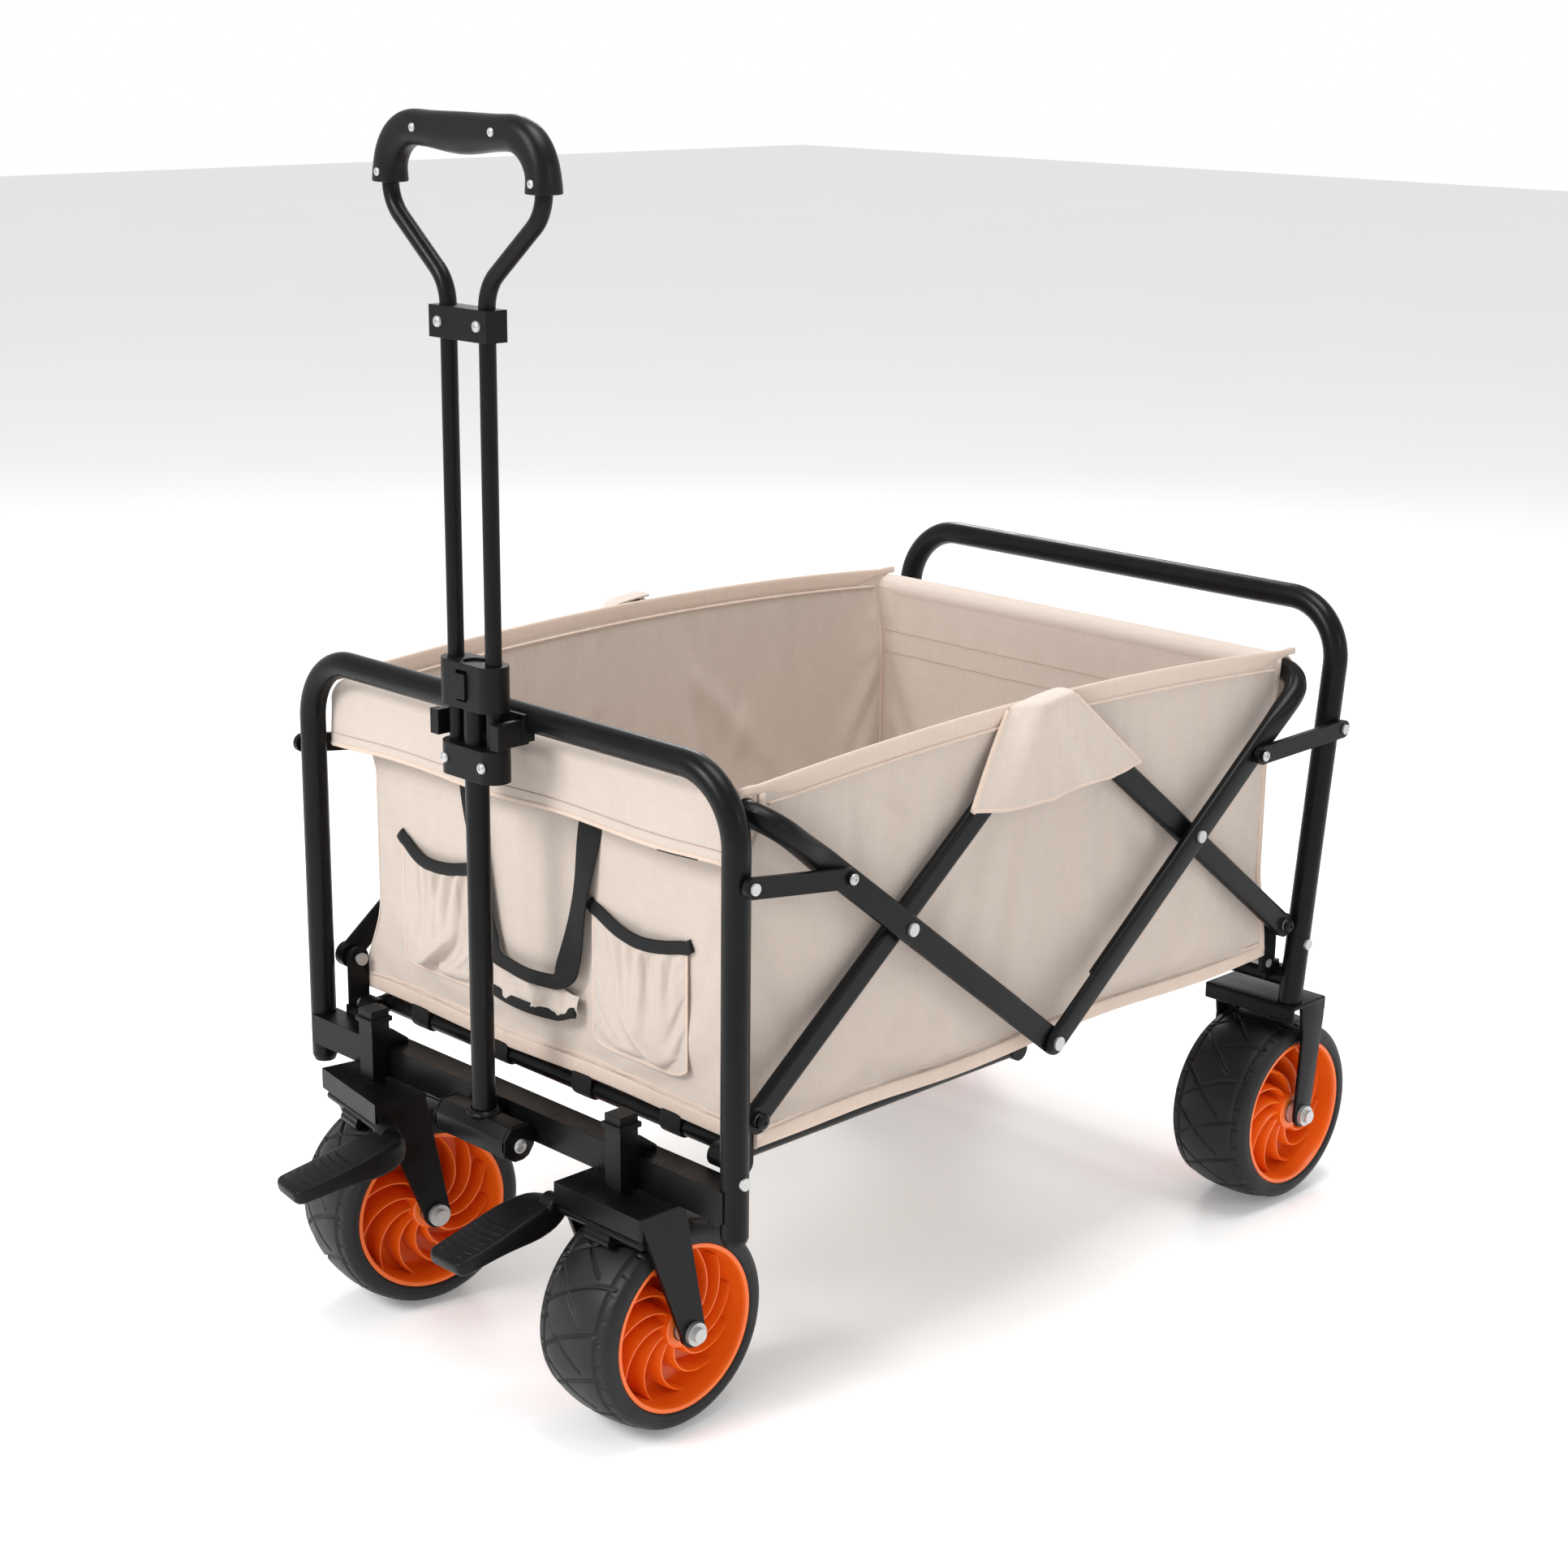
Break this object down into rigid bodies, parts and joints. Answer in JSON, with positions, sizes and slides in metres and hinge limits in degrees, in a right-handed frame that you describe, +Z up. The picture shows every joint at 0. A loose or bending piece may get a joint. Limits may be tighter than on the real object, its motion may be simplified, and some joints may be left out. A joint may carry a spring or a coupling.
{
  "type": "wagon with pull handle",
  "caption": "Folding fabric utility wagon with a telescoping pull handle, scissor side frame, treaded wheels, braked front casters and gathered front pockets.",
  "frame": {"origin": "on the ground under the middle of the wagon's bounding box", "axes": "+X to the wagon's right as seen from its front, +Y to its rear, +Z up; the pull handle is at -Y"},
  "size_m": [0.566, 0.9607, 1.003],
  "materials": {
    "powder_black": "satin black powder coat",
    "plastic_black": "fine-grained black plastic",
    "steel": "zinc-plated steel",
    "tyre_rubber": "black treaded rubber",
    "rim_orange": "glossy orange plastic",
    "beige_cloth": "woven polyester with stitched seams",
    "webbing": "black webbing and elastic binding"
  },
  "bodies": {
    "front_frame": {"front_hoop": "powder_black", "front_crossbar": "powder_black", "caster_sockets": "powder_black", "socket_caps": "plastic_black", "caster_bushes": "plastic_black", "front_brackets": "powder_black", "front_frame_bolts": "steel", "handle_barrel": "powder_black", "handle_clip": "plastic_black", "front_feet": "plastic_black"},
    "inner_front_right": {"inner_bar_front_right": "powder_black"},
    "inner_rear_right": {"inner_bar_rear_right": "powder_black"},
    "inner_front_left": {"inner_bar_front_left": "powder_black"},
    "inner_rear_left": {"inner_bar_rear_left": "powder_black"},
    "outer_front": {"outer_frame_front": "powder_black", "scissor_rivets_front": "steel"},
    "outer_rear": {"outer_frame_rear": "powder_black", "scissor_rivets_rear": "steel"},
    "rear_frame": {"rear_hoop": "powder_black", "rear_crossbar": "powder_black", "rear_forks": "powder_black", "rear_axles": "steel", "rear_brackets": "powder_black", "rear_frame_bolts": "steel"},
    "tub_front": {"front_wall": "beige_cloth", "side_walls": "beige_cloth", "front_pockets": "beige_cloth", "front_strap": "webbing"},
    "tub_rear": {"rear_wall": "beige_cloth"},
    "base_front": {"base_frame_front": "powder_black", "floor_board_front": "beige_cloth"},
    "base_rear": {"base_frame_rear": "powder_black", "floor_board_rear": "beige_cloth"},
    "link_front_right": {"link_front_right": "powder_black"},
    "link_front_left": {"link_front_left": "powder_black"},
    "link_rear_right": {"link_rear_right": "powder_black"},
    "link_rear_left": {"link_rear_left": "powder_black"},
    "handle_lower": {"handle_foot": "plastic_black", "handle_tube": "powder_black", "handle_guide": "plastic_black"},
    "handle_upper": {"handle_loop": "powder_black", "handle_collars": "plastic_black", "handle_grip": "plastic_black"},
    "lock_button": {"lock_button": "plastic_black"},
    "caster_right": {"caster_fork_right": "powder_black", "caster_axle_right": "steel"},
    "front_wheel_right": {"front_tyre_right": "tyre_rubber", "front_rim_right": "rim_orange"},
    "brake_right": {"brake_lever_right": "plastic_black", "brake_shaft_right": "powder_black"},
    "rear_wheel_right": {"rear_tyre_right": "tyre_rubber", "rear_rim_right": "rim_orange"},
    "caster_left": {"caster_fork_left": "powder_black", "caster_axle_left": "steel"},
    "front_wheel_left": {"front_tyre_left": "tyre_rubber", "front_rim_left": "rim_orange"},
    "brake_left": {"brake_lever_left": "plastic_black", "brake_shaft_left": "powder_black"},
    "rear_wheel_left": {"rear_tyre_left": "tyre_rubber", "rear_rim_left": "rim_orange"}
  },
  "joints": [
    {"name": "fold", "type": "hinge", "parent": "front_frame", "child": "inner_front_right", "pos_m": [0.255, -0.3015, 0.27667], "axis": [1, 0, 0], "range_deg": [0, 42], "deforming": ["side_walls", "floor_board_front", "floor_board_rear"]},
    {"name": "peak_right", "type": "hinge", "parent": "inner_front_right", "child": "inner_rear_right", "pos_m": [0.255, 0.0325, 0.53668], "axis": [1, 0, 0], "range_deg": [-84, 0]},
    {"name": "rear_pivot", "type": "hinge", "parent": "inner_rear_right", "child": "rear_frame", "pos_m": [0.255, 0.3665, 0.27667], "axis": [1, 0, 0], "range_deg": [0, 42]},
    {"name": "inner_front_left_pivot", "type": "hinge", "parent": "front_frame", "child": "inner_front_left", "pos_m": [-0.255, -0.3015, 0.27667], "axis": [1, 0, 0], "range_deg": [0, 42]},
    {"name": "inner_rear_left_pivot", "type": "hinge", "parent": "rear_frame", "child": "inner_rear_left", "pos_m": [-0.255, 0.3665, 0.27667], "axis": [1, 0, 0], "range_deg": [-42, 0]},
    {"name": "crossing_front", "type": "hinge", "parent": "inner_front_right", "child": "outer_front", "pos_m": [0.261, -0.1495, 0.395], "axis": [1, 0, 0], "range_deg": [-84, 0]},
    {"name": "crossing_rear", "type": "hinge", "parent": "inner_rear_right", "child": "outer_rear", "pos_m": [0.261, 0.2145, 0.395], "axis": [1, 0, 0], "range_deg": [0, 84]},
    {"name": "front_sleeve", "type": "hinge", "parent": "outer_front", "child": "tub_front", "pos_m": [0, -0.3015, 0.51333], "axis": [1, 0, 0], "range_deg": [0, 42]},
    {"name": "rear_sleeve", "type": "hinge", "parent": "outer_rear", "child": "tub_rear", "pos_m": [0, 0.3665, 0.51333], "axis": [1, 0, 0], "range_deg": [-42, 0]},
    {"name": "base_front_pivot", "type": "hinge", "parent": "front_frame", "child": "base_front", "pos_m": [0, -0.3015, 0.236], "axis": [1, 0, 0], "range_deg": [0, 77.21]},
    {"name": "base_rear_pivot", "type": "hinge", "parent": "rear_frame", "child": "base_rear", "pos_m": [0, 0.3665, 0.236], "axis": [1, 0, 0], "range_deg": [-77.21, 0]},
    {"name": "link_front_right_pivot", "type": "hinge", "parent": "front_frame", "child": "link_front_right", "pos_m": [0.2765, -0.3265, 0.46815], "axis": [1, 0, 0], "range_deg": [0, 73.68]},
    {"name": "link_rear_right_pivot", "type": "hinge", "parent": "rear_frame", "child": "link_rear_right", "pos_m": [0.2765, 0.41207, 0.45676], "axis": [1, 0, 0], "range_deg": [-60.37, 0]},
    {"name": "link_front_left_pivot", "type": "hinge", "parent": "front_frame", "child": "link_front_left", "pos_m": [-0.2765, -0.3265, 0.46815], "axis": [1, 0, 0], "range_deg": [0, 73.68]},
    {"name": "link_rear_left_pivot", "type": "hinge", "parent": "rear_frame", "child": "link_rear_left", "pos_m": [-0.2765, 0.41207, 0.45676], "axis": [1, 0, 0], "range_deg": [-60.37, 0]},
    {"name": "caster_swivel_right", "type": "hinge", "parent": "front_frame", "child": "caster_right", "pos_m": [0.157, -0.348, 0.225], "axis": [0, 0, 1], "continuous": true},
    {"name": "front_wheel_spin_right", "type": "hinge", "parent": "caster_right", "child": "front_wheel_right", "pos_m": [0.157, -0.318, 0.088], "axis": [1, 0, 0], "continuous": true},
    {"name": "brake_right", "type": "hinge", "parent": "caster_right", "child": "brake_right", "pos_m": [0.157, -0.368, 0.176], "axis": [1, 0, 0], "range_deg": [0, 20]},
    {"name": "rear_wheel_spin_right", "type": "hinge", "parent": "rear_frame", "child": "rear_wheel_right", "pos_m": [0.225, 0.392, 0.088], "axis": [1, 0, 0], "continuous": true},
    {"name": "caster_swivel_left", "type": "hinge", "parent": "front_frame", "child": "caster_left", "pos_m": [-0.157, -0.348, 0.225], "axis": [0, 0, 1], "continuous": true},
    {"name": "front_wheel_spin_left", "type": "hinge", "parent": "caster_left", "child": "front_wheel_left", "pos_m": [-0.15179, -0.31846, 0.088], "axis": [0.9848, -0.1736, 0], "continuous": true},
    {"name": "brake_left", "type": "hinge", "parent": "caster_left", "child": "brake_left", "pos_m": [-0.16047, -0.3677, 0.176], "axis": [0.9848, -0.1736, 0], "range_deg": [0, 20]},
    {"name": "rear_wheel_spin_left", "type": "hinge", "parent": "rear_frame", "child": "rear_wheel_left", "pos_m": [-0.225, 0.392, 0.088], "axis": [1, 0, 0], "continuous": true},
    {"name": "handle_tilt", "type": "hinge", "parent": "front_frame", "child": "handle_lower", "pos_m": [0, -0.3565, 0.205], "axis": [1, 0, 0], "range_deg": [0, 100]},
    {"name": "handle_telescope", "type": "slide", "parent": "handle_lower", "child": "handle_upper", "axis": [0, 0, -1], "range_m": [0, 0.24]},
    {"name": "lock_button_press", "type": "slide", "parent": "handle_lower", "child": "lock_button", "axis": [0, 1, 0], "range_m": [0, 0.003], "stiffness_N_per_m": 300}
  ],
  "couplings": [
    {"joint": "peak_right", "follows": "fold", "ratio": -2},
    {"joint": "rear_pivot", "follows": "fold", "ratio": 1},
    {"joint": "inner_front_left_pivot", "follows": "fold", "ratio": 1},
    {"joint": "inner_rear_left_pivot", "follows": "fold", "ratio": -1},
    {"joint": "crossing_front", "follows": "fold", "ratio": -2},
    {"joint": "crossing_rear", "follows": "fold", "ratio": 2},
    {"joint": "front_sleeve", "follows": "fold", "ratio": 1},
    {"joint": "rear_sleeve", "follows": "fold", "ratio": -1},
    {"joint": "base_front_pivot", "follows": "fold", "ratio": 1.8371},
    {"joint": "base_rear_pivot", "follows": "fold", "ratio": -1.8371},
    {"joint": "link_front_right_pivot", "follows": "fold", "ratio": 1.7531},
    {"joint": "link_rear_right_pivot", "follows": "fold", "ratio": -1.4361},
    {"joint": "link_front_left_pivot", "follows": "fold", "ratio": 1.7531},
    {"joint": "link_rear_left_pivot", "follows": "fold", "ratio": -1.4361}
  ]
}
